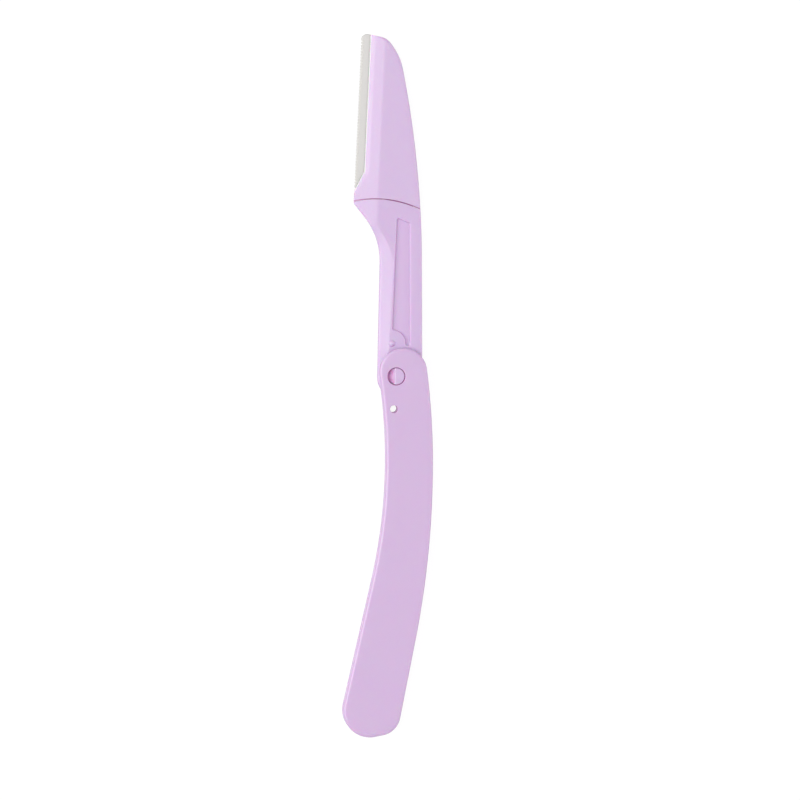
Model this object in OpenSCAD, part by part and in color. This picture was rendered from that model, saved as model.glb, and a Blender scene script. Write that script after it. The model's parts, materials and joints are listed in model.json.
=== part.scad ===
// Folding eyebrow razor: a grooved handle, a shank that turns between its plates, and a head with a
// steel blade behind a fine comb. Lengths are millimetres and angles are degrees. The razor lies flat
// and open, with the pivot's axis along Z, the head toward +Y and the cutting edge on the -X side.

/* [Overall] */
// Distance from the pivot up to the top of the head
tip_reach = 72.9; // [70:0.1:78]
// Distance from the pivot down to the end of the handle
handle_reach = 77.1; // [75:0.1:84]
// Angle from fully open to folded
fold_angle = 168.6; // [164:0.2:172]

/* [Handle] */
// Thickness of each plate
plate_wall = 1.3; // [1:0.1:2]
// Thickness of the spine that joins the plates along the convex side
spine_wall = 2; // [1.4:0.1:3]
// Thickness of the wall that closes the slot at the tail
tail_wall = 3; // [2:0.1:4]
// Radius of the round end about the pivot
round_end_r = 5.1; // [4.9:0.05:5.4]
// Distance from the pivot to the round end's rim on the concave side
rim_left = 3.6; // [3.5:0.02:3.8]
// Height of the round end's centre above the pivot
round_end_lift = 0.9; // [0.6:0.1:1.4]
// Angle below the level at which the round end runs into the concave side
rim_turn = 8.8; // [7:0.1:10]
// Radius of the concave side
concave_r = 116; // [100:1:130]
// Lean of the straight stretch of the concave side
concave_lean = 12.9; // [11:0.1:14]
// Distance of the widest point of the convex side to the right of the pivot
belly_out = 7.84; // [7.5:0.01:8.2]
// Drop of that widest point below the pivot
belly_drop = 18.6; // [15:0.1:22]
// Radius of the convex side below its widest point
convex_r = 194; // [180:1:220]
// Lean of the straight stretch of the convex side
convex_lean = 11.2; // [10:0.1:12]
// Radius of the tail's corner on the concave side
tail_left_r = 5.7; // [5:0.1:6]
// Radius of the tail's corner on the convex side
tail_right_r = 4.6; // [3.5:0.1:5.2]
// Tilt of the tail between its corners
tail_tilt = 11.6; // [6:0.1:14]
// Radius inside the slot between the spine and the tail wall
slot_corner_r = 2; // [1:0.1:3]
// Height above the pivot at which the spine ends
spine_top = 1.5; // [0.5:0.1:2.5]
// Radius that softens the plates' outer edges
handle_edge = 0.6; // [0.3:0.05:0.9]

/* [Pivot] */
// Radius of the bosses that the shank turns on
boss_r = 1.8; // [1.5:0.05:2]
// Radial clearance of the bosses in their bores
boss_clearance = 0.08; // [0.03:0.01:0.1]
// Depth of the bosses' ends below the plates' outer faces
boss_setback = 0.2; // [0.1:0.05:0.4]
// Chamfer round the bosses' ends
boss_chamfer = 0.12; // [0.05:0.01:0.2]
// Distance of the lead-in ramp's ridge to the left of the pivot
ramp_ridge = 0.22; // [0:0.02:0.6]
// Slope of the lead-in ramp
ramp_slope = 38; // [30:1:44]
// Chamfer round the bores in the plates
bore_chamfer = 0.12; // [0.05:0.01:0.2]
// Radius of the raised pads that centre the shank in the slot
pad_r = 3; // [2.4:0.1:3.4]
// Running clearance between a pad and its plate
pad_clearance = 0.05; // [0.03:0.01:0.1]
// Clearance between the shank's outline and the spine at rest
pocket_gap = 0.15; // [0.1:0.01:0.25]

/* [Detent] */
// Distance of the bumps and their holes from the pivot
detent_reach = 7; // [6.6:0.1:7.4]
// Angle of the bumps about the pivot when open
bump_angle = 96.9; // [92:0.1:100]
// Radius of a bump at its foot
bump_r = 0.7; // [0.5:0.05:0.8]
// Clearance between a bump's top and the plates
bump_clearance = 0.04; // [0.03:0.01:0.1]
// Clearance of a bump's foot in its hole
detent_clearance = 0.1; // [0.05:0.01:0.2]

/* [Shank] */
// Thickness of the shank and of the head
arm_thick = 2.2; // [2:0.1:2.6]
// Space between the shank's faces and the plates
side_gap = 0.4; // [0.3:0.05:0.5]
// Radius of the heel
heel_r = 4.8; // [4.6:0.01:4.85]
// Distance of the heel's centre to the right of the pivot
heel_right = 0.84; // [0.7:0.01:0.95]
// Drop of the heel's centre below the pivot
heel_drop = 0.3; // [0.1:0.05:0.4]
// Lean of the shank's left edge
left_lean = 1.25; // [0.8:0.05:2]
// Lean of the shank's right edge
right_lean = 0.2; // [0.1:0.05:0.6]
// Drop of the flare's start below the seam's highest point
flare_drop = 13.45; // [12.8:0.05:14.6]
// Radius of the flare
flare_r = 15; // [13:0.5:16]
// Slope of the flare below the head
flare_slope = 38.2; // [36:0.2:42]
// Radius of the corner between the flare and the cutting edge
flare_corner_r = 0.9; // [0.7:0.1:1.3]
// Width of the softened edges
soft_edge = 0.65; // [0.5:0.05:0.7]
// Depth of the softened edges
edge_drop = 0.45; // [0.3:0.05:0.6]
// Width of the broad soft bevel along the left edge at the pivot
bevel_low = 2.2; // [1.6:0.1:2.8]
// Width of that bevel at the flare
bevel_high = 3; // [2:0.1:3.6]
// Depth of the long recess
recess_depth = 0.6; // [0.3:0.05:0.7]
// Drop of the recess's upper left corner below the seam's highest point
recess_drop = 3.95; // [3.6:0.05:6]
// Slope of the recess's upper end
recess_slope = 24; // [10:1:30]
// Distance of the recess's upper left corner to the right of the pivot
recess_left = 0.29; // [0:0.01:0.5]
// Distance of the recess's right side to the right of the pivot
recess_right = 2.96; // [2.4:0.02:3.1]
// Lean of the recess's left side
recess_lean = 2.4; // [1:0.1:3.5]
// Radius of the round land left standing about a bump
land_r = 2.95; // [2.6:0.05:3.1]
// Length of the tang inside the head
tang_length = 7; // [5:0.5:9]
// Width of the tang
tang_width = 5.6; // [4:0.1:6]
// Thickness of the tang
tang_thick = 1; // [0.8:0.05:1.2]
// Distance of the tang's centre to the right of the pivot
tang_right = 0.8; // [0.5:0.1:1]
// Radius of the tang's corners
tang_corner_r = 1.2; // [0.6:0.1:1.8]
// Clearance round the tang in its socket
tang_clearance = 0.03; // [0.02:0.01:0.08]
// Clearance past the tang's end
tang_end_gap = 0.3; // [0.2:0.05:0.6]

/* [Head] */
// Distance of the cutting edge's line from the pivot
edge_reach = 10.7; // [10.5:0.05:11.3]
// Lean of the cutting edge
edge_lean = 2.7; // [2.4:0.05:3.2]
// Radius of the nose above the cutting edge
nose_r = 1.2; // [0.9:0.1:1.6]
// Slope of the head's top
top_slope = 11; // [10:1:12]
// Radius between the top and the shoulder
crown_r = 3.6; // [3:0.1:4.5]
// Radius of the shoulder between the crown and the back
shoulder_r = 13; // [12:0.5:14]
// Angle of the back at which the shoulder starts
shoulder_turn = 11.1; // [10.9:0.05:11.3]
// Height above the pivot at which the back starts to curve
back_start = 24.9; // [22:0.1:25]
// Radius of the back
back_r = 214; // [212:1:216]
// Radius that softens the head's edges
head_edge = 0.45; // [0.3:0.05:0.6]
// Width of the bare strip in front of the lip
strip_width = 1.9; // [1.6:0.02:2.1]
// Half of the lip's thickness
lip_half = 0.5; // [0.45:0.01:0.6]
// Width of the steep bevel behind the lip
steep_width = 1; // [0.8:0.05:1.3]
// Rise of the steep bevel
steep_rise = 0.38; // [0.3:0.02:0.45]
// Width of the gentle bevel behind the steep one
gentle_width = 2.27; // [1.8:0.05:2.8]
// Rise of the lip's outward turn above the seam's highest point
kink_rise = 6.1; // [5.5:0.1:8]
// Angle through which the lip turns outward
kink_angle = 24; // [18:0.5:26]
// Radius of the curved seam between the shank and the head
seam_r = 21.5; // [19:0.5:26]
// Distance of the seam's highest point to the left of the pivot
seam_left = 4.4; // [3:0.1:6]
// Height of the seam's highest point above the pivot
seam_height = 37.7; // [37:0.1:38.6]
// Gap between the shank's shoulder and the head
seam_gap = 0.05; // [0.02:0.01:0.1]
// Width of the shadow groove along the seam
groove_width = 0.2; // [0.1:0.02:0.3]
// Half of the thickness left under the groove
groove_half = 0.64; // [0.58:0.02:0.8]

/* [Blade] */
// Thickness of the blade
blade_thick = 0.3; // [0.2:0.02:0.36]
// Width of the blade
blade_width = 4.9; // [4:0.1:5]
// Width of the ground edge
grind_width = 0.8; // [0.5:0.05:1.2]
// Clearance round the blade in the head
blade_clearance = 0.01; // [0.01:0.005:0.03]
// Radius of the head's posts that pass through the blade
post_r = 0.8; // [0.5:0.05:0.9]
// Distance from one post to the next
post_pitch = 12.5; // [8:0.5:14]
// Least distance of the posts' centres from the blade's ends
post_margin = 3.5; // [2.5:0.5:5]
// Thickness of the head's wall over the blade's upper end
tip_cover = 1; // [0.7:0.1:1.4]

/* [Guard] */
// Thickness of the guard's sheet
guard_sheet = 0.1; // [0.06:0.01:0.12]
// Depth of the guard behind the cutting edge
guard_width = 2.4; // [2:0.1:2.8]
// Clearance between the guard and the blade's edge
guard_clearance = 0.02; // [0.01:0.01:0.04]
// Distance from one tooth to the next
tooth_pitch = 0.634; // [0.5:0.002:0.8]
// Width of the slits between the teeth
slit_width = 0.3; // [0.2:0.02:0.4]
// Depth of the slits
slit_depth = 0.55; // [0.4:0.05:0.8]

/* [Hidden] */

lilac = "#DABBE3";
steel = "#D8D6D4";

// Overrun that carries a cut clear of what it cuts
over = 0.5;
// Largest gap between a curved outline and its chords
curve_error = 0.012;
// Steps in a softened edge
edge_steps = 4;
// Facets of the seam's long arcs
seam_facets = 200;
// Facets of bores and bosses
$fn = 64;

slot_width = arm_thick + 2 * side_gap;
handle_thick = slot_width + 2 * plate_wall;
arm_half = arm_thick / 2;
slot_half = slot_width / 2;
bore_r = boss_r + boss_clearance;
bump_height = side_gap - bump_clearance;
// A bump is the cap of this sphere
bump_sphere_r = (bump_r * bump_r + bump_height * bump_height) / (2 * bump_height);
detent_r = bump_r + detent_clearance;
boss_half = handle_thick / 2 - boss_setback;

// Unit vector at an angle from the +X side
function toward(angle) = [cos(angle), sin(angle)];

// Point that lies a given distance along each of two directions
function meet(angle_a, dist_a, angle_b, dist_b) =
    [
        dist_a * sin(angle_b) - dist_b * sin(angle_a),
        dist_b * cos(angle_a) - dist_a * cos(angle_b)
    ] / sin(angle_b - angle_a);

// An outline is a list of bends that run into each other along straight tangents. A bend is its centre,
// its radius, the angles of the outward normal at its start and end, and the width of the softened edge
// at its start and end. A hollow bend has a negative radius.
function bend_steps(bend) =
    ceil(abs(bend[3] - bend[2]) / (2 * acos(1 - curve_error / abs(bend[1]))));

function bend_points(bend, inset, share) =
    let (steps = bend_steps(bend))
    [
        for (i = [0 : steps])
            let (
                part = i / steps,
                angle = bend[2] + (bend[3] - bend[2]) * part,
                width = bend[4] + (bend[5] - bend[4]) * part
            )
            bend[0] + toward(angle) * (bend[1] - inset - width * share)
    ];

function outline(bends, inset = 0, share = 0) = [for (bend = bends) each bend_points(bend, inset, share)];

// Triangles that fill an outline between its left and its right side, from the bottom up
function rungs(points, left, right, top) =
    let (
        next_left = (left + len(points) - 1) % len(points),
        next_right = (right + 1) % len(points),
        left_is_next = right == top || left != top && points[next_left][1] < points[next_right][1]
    )
    next_right == left
        ? []
        : left_is_next
            ? concat([[left, right, next_left]], rungs(points, next_left, right, top))
            : concat([[left, right, next_right]], rungs(points, left, next_right, top));

// Handle outline
round_end = [round_end_r - rim_left, round_end_lift];
concave_centre = round_end + toward(180 + rim_turn) * (round_end_r + concave_r);
concave_line = concave_centre * toward(180 - concave_lean) - concave_r;
tail_left = meet(180 - concave_lean, concave_line - tail_left_r, 270, handle_reach - tail_left_r);
tail_line = tail_left * toward(270 + tail_tilt) + tail_left_r;
convex_centre = [belly_out - convex_r, -belly_drop];
convex_line = convex_centre * toward(-convex_lean) + convex_r;
tail_right = meet(270 + tail_tilt, tail_line - tail_right_r, -convex_lean, convex_line - tail_right_r);
// The stretch above the widest point touches that point and the round end
belly_run = [belly_out - round_end[0], round_end[1] + belly_drop];
upper_r = (belly_run * belly_run - round_end_r * round_end_r) / (2 * (belly_run[0] - round_end_r));
upper_centre = [belly_out - upper_r, -belly_drop];
upper_turn = atan2(round_end[1] - upper_centre[1], round_end[0] - upper_centre[0]);

handle_bends = [
    [round_end, round_end_r, upper_turn, 180 + rim_turn, handle_edge, handle_edge],
    [concave_centre, -concave_r, 180 + rim_turn, 180 - concave_lean, handle_edge, handle_edge],
    [tail_left, tail_left_r, 180 - concave_lean, 270 + tail_tilt, handle_edge, handle_edge],
    [tail_right, tail_right_r, 270 + tail_tilt, 360 - convex_lean, handle_edge, handle_edge],
    [convex_centre, convex_r, 360 - convex_lean, 360, handle_edge, handle_edge],
    [upper_centre, upper_r, 360, 360 + upper_turn, handle_edge, handle_edge]
];

// Right side of the slot, from the tail wall to the round end
slot_floor = handle_reach - tail_wall;
slot_corner = meet(270, slot_floor - slot_corner_r, -convex_lean, convex_line - spine_wall - slot_corner_r);
slot_bends = [
    [slot_corner, slot_corner_r, 270, 360 - convex_lean, 0, 0],
    [convex_centre, convex_r - spine_wall, 360 - convex_lean, 360, 0, 0],
    [upper_centre, upper_r - spine_wall, 360, 360 + upper_turn, 0, 0]
];

// Outline of the shank and the head together
flare_start = seam_height - flare_drop;
heel = [heel_right, -heel_drop];
left_line = heel * toward(180 - left_lean) + heel_r;
right_line = heel * toward(right_lean) + heel_r;
flare_foot = meet(180 - left_lean, left_line, 90, flare_start);
flare_centre = flare_foot + toward(180 - left_lean) * flare_r;
flare_line = flare_centre * toward(180 + flare_slope) - flare_r;
flare_corner = meet(180 - edge_lean, edge_reach - flare_corner_r, 180 + flare_slope, flare_line - flare_corner_r);
back_centre = meet(right_lean, right_line, 90, back_start) - toward(right_lean) * back_r;
nose = meet(180 - edge_lean, edge_reach - nose_r, 90, tip_reach - nose_r);
shoulder = back_centre + toward(shoulder_turn) * (back_r - shoulder_r);
// The crown touches the top's line and the shoulder's curve
crown_from = nose + toward(90 - top_slope) * (nose_r - crown_r);
crown_way = toward(-top_slope);
crown_arm = crown_from - shoulder;
crown_along = crown_arm * crown_way;
crown_reach = shoulder_r - crown_r;
crown_step = sqrt(crown_along * crown_along - crown_arm * crown_arm + crown_reach * crown_reach);
crown = crown_from + crown_way * (crown_step - crown_along);
crown_turn = atan2(crown[1] - shoulder[1], crown[0] - shoulder[0]);

// The widths are those of the softened edge: on the lower left, at the flare, and elsewhere
function arm_bends(low, high, rest) = [
    [heel, heel_r, 180 - left_lean, 360 + right_lean, low, rest],
    [back_centre, back_r, 360 + right_lean, 360 + shoulder_turn, rest, rest],
    [shoulder, shoulder_r, 360 + shoulder_turn, 360 + crown_turn, rest, rest],
    [crown, crown_r, 360 + crown_turn, 450 - top_slope, rest, rest],
    [nose, nose_r, 450 - top_slope, 540 - edge_lean, rest, rest],
    [flare_corner, flare_corner_r, 540 - edge_lean, 540 + flare_slope, rest, rest],
    [flare_centre, -flare_r, 540 + flare_slope, 540 - left_lean, rest, high]
];
plain_arm = arm_bends(0, 0, 0);

// The model's origin is under the middle of the open razor
all_points = concat(outline(handle_bends), outline(plain_arm));
all_x = [for (point = all_points) point[0]];
middle = [(min(all_x) + max(all_x)) / 2, (tip_reach - handle_reach) / 2];

// Distances behind the cutting edge
lip_at = strip_width;
shoulder_at = lip_at + steep_width;
flat_at = shoulder_at + gentle_width;
shoulder_half = lip_half + steep_rise;
steep_slope = steep_rise / steep_width;
gentle_slope = (arm_half - shoulder_half) / gentle_width;
above = arm_half + over;

// Distances along the cutting edge, from the point nearest the pivot
edge_foot = toward(180 - edge_lean) * edge_reach;
edge_way = toward(90 - edge_lean);
edge_top = (tip_reach - edge_foot[1]) / edge_way[1] + over;
edge_bottom = (seam_height - 2 * over - edge_foot[1]) / edge_way[1];
kink_at = (seam_height + kink_rise - edge_foot[1]) / edge_way[1];
// The lip reaches the cutting edge this far below its turn, and covers the blade's lower end there
kink_run = strip_width / tan(kink_angle);
foot_share = 0.85;
blade_foot = kink_at - foot_share * kink_run;
blade_half = blade_thick / 2;
guard_half = blade_half + guard_sheet;
blade_front = guard_sheet + guard_clearance;
blade_back = blade_front + blade_width;
// The posts stand midway between the guard and the blade's back
post_at = (guard_width + blade_back) / 2;
post_first = blade_foot + post_margin;
post_last = edge_top - over - post_margin;
posts = floor((post_last - post_first) / post_pitch);
first_slit = blade_foot + tooth_pitch;
slits = floor((edge_top - over - nose_r - first_slit) / tooth_pitch);

seam_centre = [-seam_left, seam_height - seam_r];
recess_top = seam_height - recess_drop;

// Places the pivot's middle point in the model
module at_pivot() {
    translate([-middle[0], -middle[1], handle_thick / 2])
        children();
}

// Makes something once toward the front and once toward the back
module both_faces() {
    children();
    mirror([0, 0, 1])
        children();
}

// Places a shape behind the cutting edge: X is the depth behind it and Y runs along it
module at_edge() {
    translate(edge_foot)
        rotate(-edge_lean)
            children();
}

// Extrudes a section of depth and height along the cutting edge
module along_edge(low, high) {
    translate([0, high, 0])
        rotate([90, 0, 0])
            linear_extrude(high - low)
                children();
}

// Plate with softened edges, level about the middle plane
module soft_plate(bends, half, drop) {
    inner = outline(bends, 0, 1);
    count = len(inner);
    heights = [for (point = inner) point[1]];
    bottom = search(min(heights), heights)[0];
    top = search(max(heights), heights)[0];
    flat_faces = rungs(inner, bottom, (bottom + 1) % count, top);
    turns = [for (step = [0 : edge_steps]) 90 * step / edge_steps];
    lower = [for (step = [edge_steps : -1 : 0]) [1 - cos(turns[step]), drop * (1 - sin(turns[step])) - half]];
    upper = [for (turn = turns) [1 - cos(turn), half - drop * (1 - sin(turn))]];
    levels = concat(lower, upper);
    points = [for (level = levels) for (point = outline(bends, 0, level[0])) [point[0], point[1], level[1]]];
    sides = [
        for (row = [0 : len(levels) - 2])
            for (i = [0 : count - 1])
                let (
                    next = (i + 1) % count,
                    low = row * count,
                    high = low + count
                )
                each row < edge_steps
                    ? [[low + i, high + i, low + next], [high + i, high + next, low + next]]
                    : [[low + i, high + i, high + next], [low + i, high + next, low + next]]
    ];
    roof = len(points) - count;
    roof_faces = [for (face = flat_faces) [roof + face[2], roof + face[1], roof + face[0]]];
    polyhedron(points, concat(flat_faces, sides, roof_faces));
}

// Upright prism, level about the middle plane
module level_prism(half) {
    translate([0, 0, -half])
        linear_extrude(2 * half)
            children();
}

// Space between the handle's plates
module slot_shape() {
    far = handle_reach;
    side = outline(slot_bends);
    last = side[len(side) - 1];
    polygon(concat([[-far, -slot_floor]], side, [[last[0], far], [-far, far]]));
    translate([-far, spine_top])
        square([2 * far, far]);
    polygon(outline(plain_arm, -pocket_gap));
}

// Bore through both plates with its rims broken
module plate_bore(place, radius) {
    translate(place)
        both_faces() {
            cylinder(h = handle_thick, r = radius);
            translate([0, 0, handle_thick / 2 - bore_chamfer])
                cylinder(h = 2 * bore_chamfer, r1 = radius, r2 = radius + 2 * bore_chamfer);
        }
}

module handle() {
    color(lilac)
        at_pivot()
            difference() {
                soft_plate(handle_bends, handle_thick / 2, handle_edge);
                level_prism(slot_half)
                    slot_shape();
                plate_bore([0, 0], bore_r);
                plate_bore(toward(bump_angle + fold_angle) * detent_reach, detent_r);
            }
}

// Everything on the head's side of the seam
module beyond_seam(radius) {
    difference() {
        translate([-handle_reach, seam_centre[1] + seam_r / 2, -above])
            cube([2 * handle_reach, tip_reach, 2 * above]);
        translate(seam_centre)
            translate([0, 0, -above - over])
                cylinder(h = 2 * above + 2 * over, r = radius, $fn = seam_facets);
    }
}

// The gentle bevel that runs from the head into the flare
module gentle_wedge() {
    low_at = -2 * over;
    low_half = arm_half - gentle_slope * (flat_at - low_at);
    high_at = flat_at + over / gentle_slope;
    at_edge()
        along_edge(-edge_top, edge_top)
            polygon([
                [low_at, -low_half],
                [high_at, -above],
                [high_at + edge_reach, -above],
                [high_at + edge_reach, above],
                [high_at, above],
                [low_at, low_half]
            ]);
}

// The steep bevel behind the lip
module steep_wedge() {
    high_at = lip_at + (above - lip_half) / steep_slope;
    along_edge(edge_bottom - tip_reach, 2 * edge_top)
        polygon([
            [lip_at, -lip_half],
            [high_at, -above],
            [high_at + edge_top, -above],
            [high_at + edge_top, above],
            [high_at, above],
            [lip_at, lip_half]
        ]);
}

module lip() {
    turn_point = [lip_at, kink_at];
    at_edge() {
        steep_wedge();
        translate(turn_point)
            rotate(-kink_angle)
                translate(-turn_point)
                    steep_wedge();
    }
}

// Outline of the blade or the guard: bare in front of the lip, and covered by the head behind it
module strip_shape(inset, depth, play = 0) {
    intersection() {
        polygon(outline(plain_arm, inset));
        at_edge()
            translate([-over, blade_foot - play])
                square([lip_at + over, edge_top]);
    }
    intersection() {
        polygon(outline(plain_arm, tip_cover - play));
        at_edge()
            translate([lip_at - over, blade_foot - play])
                square([depth + play - lip_at + over, edge_top]);
    }
}

// Holes in the blade, or the posts that fill them
module post_shapes(radius) {
    at_edge()
        for (i = [0 : posts])
            translate([post_at, post_first + i * post_pitch])
                circle(r = radius);
}

// Room for the blade and the guard in the head
module strip_pocket() {
    level_prism(guard_half + blade_clearance)
        strip_shape(-over, guard_width, blade_clearance);
    level_prism(blade_half + blade_clearance)
        difference() {
            strip_shape(-over, blade_back, blade_clearance);
            post_shapes(post_r - blade_clearance);
        }
}

// Tang with its end past the seam, or the socket for it
module tang_shape(play, end_gap) {
    width = tang_width + 2 * play;
    top = seam_height + tang_length + end_gap;
    inner = width - 2 * tang_corner_r;
    translate([tang_right - width / 2, recess_top])
        square([width, top - tang_corner_r - recess_top]);
    translate([tang_right - inner / 2, recess_top])
        square([inner, top - recess_top]);
    for (side = [-1, 1])
        translate([tang_right + side * inner / 2, top - tang_corner_r])
            circle(r = tang_corner_r);
}

// Shadow groove along the seam
module seam_groove() {
    translate(seam_centre)
        both_faces()
            translate([0, 0, groove_half])
                difference() {
                    cylinder(h = above - groove_half, r = seam_r + groove_width, $fn = seam_facets);
                    translate([0, 0, -over])
                        cylinder(h = above + over, r = seam_r - over, $fn = seam_facets);
                }
}

module blade_head() {
    color(lilac)
        at_pivot()
            difference() {
                intersection() {
                    soft_plate(arm_bends(head_edge, head_edge, head_edge), arm_half, edge_drop);
                    gentle_wedge();
                    lip();
                    beyond_seam(seam_r + seam_gap);
                }
                seam_groove();
                strip_pocket();
                level_prism(tang_thick / 2 + tang_clearance)
                    tang_shape(tang_clearance, tang_end_gap);
            }
}

// Outline of the long recess beside the bump's land
module recess_shape() {
    bump = toward(bump_angle) * detent_reach;
    foot = bump[1];
    run = recess_right - recess_left;
    slot_end = (recess_right - bump[0] - land_r) / 2;
    difference() {
        polygon([
            [recess_left - (recess_top - foot) * tan(recess_lean), foot],
            [recess_right, foot],
            [recess_right, recess_top - run * tan(recess_slope)],
            [recess_left, recess_top]
        ]);
        translate(bump)
            circle(r = land_r);
    }
    translate([recess_right - slot_end, foot])
        circle(r = slot_end);
}

// One pivot boss, its pad and its ramp, toward the front
module boss() {
    difference() {
        union() {
            cylinder(h = boss_half - boss_chamfer, r = boss_r);
            translate([0, 0, boss_half - boss_chamfer])
                cylinder(h = boss_chamfer, r1 = boss_r, r2 = boss_r - boss_chamfer);
        }
        translate([-ramp_ridge, 0, boss_half])
            rotate([0, -ramp_slope, 0])
                translate([-2 * boss_r - over, -boss_r - over, 0])
                    cube([2 * boss_r + over, 2 * boss_r + 2 * over, boss_half]);
    }
    cylinder(h = slot_half - pad_clearance, r = pad_r);
}

// The cap of a sphere that clicks into the detent hole
module bump() {
    translate(toward(bump_angle) * detent_reach)
        translate([0, 0, arm_half + bump_height - bump_sphere_r])
            sphere(r = bump_sphere_r);
}

module shank() {
    color(lilac)
        at_pivot() {
            difference() {
                intersection() {
                    soft_plate(arm_bends(bevel_low, bevel_high, soft_edge), arm_half, edge_drop);
                    gentle_wedge();
                }
                beyond_seam(seam_r);
                both_faces()
                    translate([0, 0, arm_half - recess_depth])
                        linear_extrude(recess_depth + over)
                            recess_shape();
            }
            both_faces() {
                boss();
                bump();
            }
            level_prism(tang_thick / 2)
                tang_shape(0, 0);
        }
}

module blade() {
    ground = [
        [blade_front, 0],
        [blade_front + grind_width, blade_half],
        [blade_back, blade_half],
        [blade_back, -blade_half],
        [blade_front + grind_width, -blade_half]
    ];
    color(steel)
        at_pivot()
            difference() {
                intersection() {
                    at_edge()
                        along_edge(0, 2 * edge_top)
                            polygon(ground);
                    level_prism(blade_thick)
                        strip_shape(blade_front, blade_back);
                }
                level_prism(blade_thick)
                    post_shapes(post_r);
            }
}

// Folded sheet: two leaves joined by a half-round bend along the cutting edge
module guard_section() {
    difference() {
        union() {
            translate([guard_half, 0])
                circle(r = guard_half);
            translate([guard_half, -guard_half])
                square([guard_width - guard_half, 2 * guard_half]);
        }
        translate([guard_half, 0])
            circle(r = blade_half);
        translate([guard_half, -blade_half])
            square([guard_width, blade_thick]);
    }
}

module edge_guard() {
    color(steel)
        at_pivot()
            difference() {
                intersection() {
                    at_edge()
                        along_edge(0, 2 * edge_top)
                            guard_section();
                    level_prism(blade_thick)
                        strip_shape(0, guard_width);
                }
                at_edge()
                    for (i = [0 : slits])
                        translate([-over, first_slit + i * tooth_pitch, -blade_thick])
                            cube([over + slit_depth, slit_width, 2 * blade_thick]);
            }
}

handle();
shank();
blade_head();
blade();
edge_guard();
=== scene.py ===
"""Folding eyebrow razor in satin lilac plastic, open and lying on its back.

Plane sizes are millimetres about the pivot: X toward the blunt back, Y toward the head, and Z up from
the middle plane between the two faces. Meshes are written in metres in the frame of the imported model.
"""

import json
from math import acos, ceil, cos, degrees, pi, radians, sin, sqrt, tan

import bpy
import numpy as np
from mathutils import Matrix, Vector
from mathutils.geometry import delaunay_2d_cdt


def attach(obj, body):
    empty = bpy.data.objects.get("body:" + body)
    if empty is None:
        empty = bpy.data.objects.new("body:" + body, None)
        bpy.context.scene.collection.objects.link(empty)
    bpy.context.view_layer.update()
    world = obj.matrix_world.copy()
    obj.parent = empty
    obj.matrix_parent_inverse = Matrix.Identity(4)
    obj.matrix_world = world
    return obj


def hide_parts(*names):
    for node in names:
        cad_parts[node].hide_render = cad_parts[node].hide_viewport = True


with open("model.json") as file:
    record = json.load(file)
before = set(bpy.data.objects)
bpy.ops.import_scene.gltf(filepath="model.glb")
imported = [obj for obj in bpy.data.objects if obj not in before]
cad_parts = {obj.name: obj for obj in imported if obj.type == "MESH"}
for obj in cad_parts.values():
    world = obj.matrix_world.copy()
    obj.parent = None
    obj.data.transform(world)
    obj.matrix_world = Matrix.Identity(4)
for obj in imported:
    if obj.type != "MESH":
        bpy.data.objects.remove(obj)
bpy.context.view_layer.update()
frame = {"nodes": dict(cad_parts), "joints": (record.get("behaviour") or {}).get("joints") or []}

MM = 0.001
PIVOT = Vector(frame["joints"][0]["pos_m"])

# Overall
TIP_REACH = 72.9
HANDLE_REACH = 77.1
FOLD_ANGLE = frame["joints"][0]["range_deg"][1]

# Handle
HANDLE_THICK = 2 * PIVOT.z / MM
PLATE_WALL = 1.3
SPINE_WALL = 2.0
TAIL_WALL = 3.0
ROUND_END_R = 5.1
RIM_LEFT = 3.6
ROUND_END_LIFT = 0.9
RIM_TURN = 8.8
CONCAVE_R = 116.0
CONCAVE_LEAN = 12.9
BELLY_OUT = 7.84
BELLY_DROP = 18.6
CONVEX_R = 194.0
CONVEX_LEAN = 11.2
TAIL_LEFT_R = 5.7
TAIL_RIGHT_R = 4.6
TAIL_TILT = 11.6
SLOT_CORNER_R = 2.0
SPINE_TOP = 1.5
HANDLE_EDGE = 0.65
HANDLE_EDGE_DROP = 0.45
MOUTH_EDGE = 0.25

# Pivot and detent
BOSS_R = 1.8
BORE_R = 1.88
BOSS_SETBACK = 0.2
BOSS_EDGE = 0.12
RAMP_RIDGE = 0.22
RAMP_SLOPE = 38.0
RAMP_BLEND = 0.06
BORE_EDGE = 0.09
PAD_R = 3.0
PAD_EDGE = 0.12
PAD_CLEARANCE = 0.05
WALL_DRAFT = 0.03
POCKET_GAP = 0.15
DETENT_REACH = 7.0
BUMP_ANGLE = 96.9
BUMP_R = 0.7
BUMP_BLEND = 0.06
BUMP_CLEARANCE = 0.04
DETENT_R = 0.8

# Shank
ARM_THICK = 2.2
SIDE_GAP = 0.4
HEEL_R = 4.8
HEEL_RIGHT = 0.84
HEEL_DROP = 0.3
LEFT_LEAN = 1.25
RIGHT_LEAN = 0.2
FLARE_DROP = 13.45
FLARE_R = 15.0
FLARE_SLOPE = 38.2
FLARE_CORNER_R = 0.9
SOFT_EDGE = 0.65
EDGE_ROUND = 0.45
EDGE_ROUND_DROP = 0.26
BEVEL_LOW = 2.2
BEVEL_HIGH = 3.0
BEVEL_DROP = 0.46
RECESS_DEPTH = 0.6
RECESS_DROP = 3.95
RECESS_SLOPE = 24.0
RECESS_LEFT = 0.29
RECESS_RIGHT = 2.96
RECESS_LEAN = 2.4
RECESS_CORNER_R = 0.32
RECESS_LIP_R = 0.3
RECESS_DRAFT = 0.03
RECESS_FLOOR_R = 0.1
LAND_R = 2.95
TANG_LENGTH = 7.0
TANG_WIDTH = 5.6
TANG_THICK = 1.0
TANG_RIGHT = 0.8
TANG_CORNER_R = 1.2
TANG_CLEARANCE = 0.03
TANG_END_GAP = 0.3

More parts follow.
